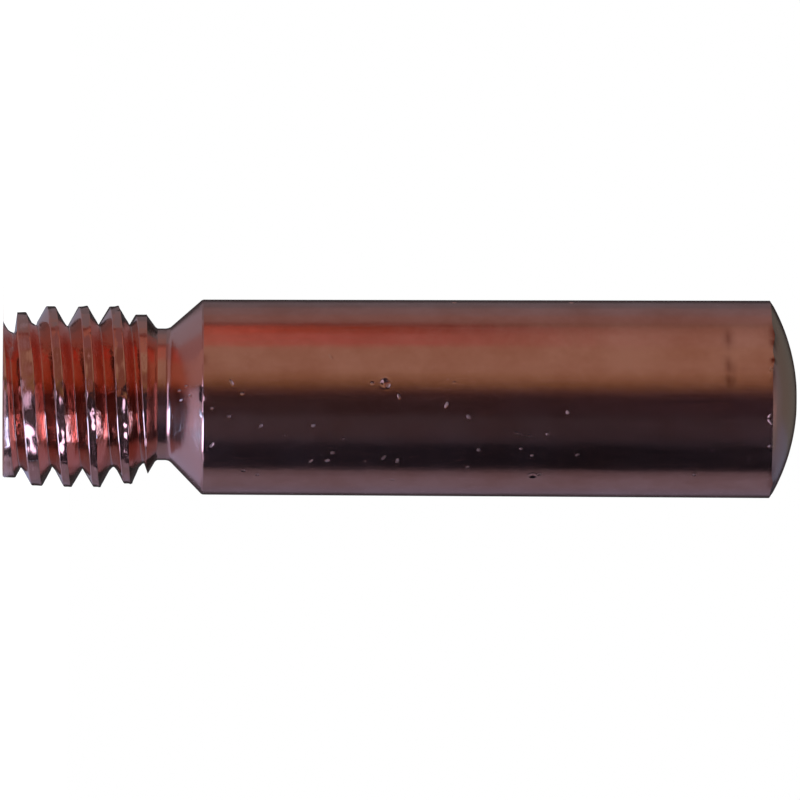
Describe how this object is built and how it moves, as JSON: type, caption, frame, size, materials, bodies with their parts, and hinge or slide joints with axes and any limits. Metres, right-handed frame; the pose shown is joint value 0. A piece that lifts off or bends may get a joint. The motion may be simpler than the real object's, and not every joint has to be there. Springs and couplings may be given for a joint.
{
  "type": "welding contact tip",
  "caption": "Round copper contact tip for a wire-feed welding torch: short male thread, relief neck, conical seat, plain body with a domed nose, and a wire bore right through.",
  "frame": {"origin": "centre of the flat end face of the threaded end, on the bore's axis", "axes": "+Z along the bore's axis, from the threaded end to the nose"},
  "size_m": [0.0064, 0.0064, 0.0257],
  "materials": {
    "copper": "turned and drawn copper, satin to polished, lightly tarnished and nicked"
  },
  "bodies": {
    "root": {"contact_tip": "copper"}
  },
  "joints": []
}
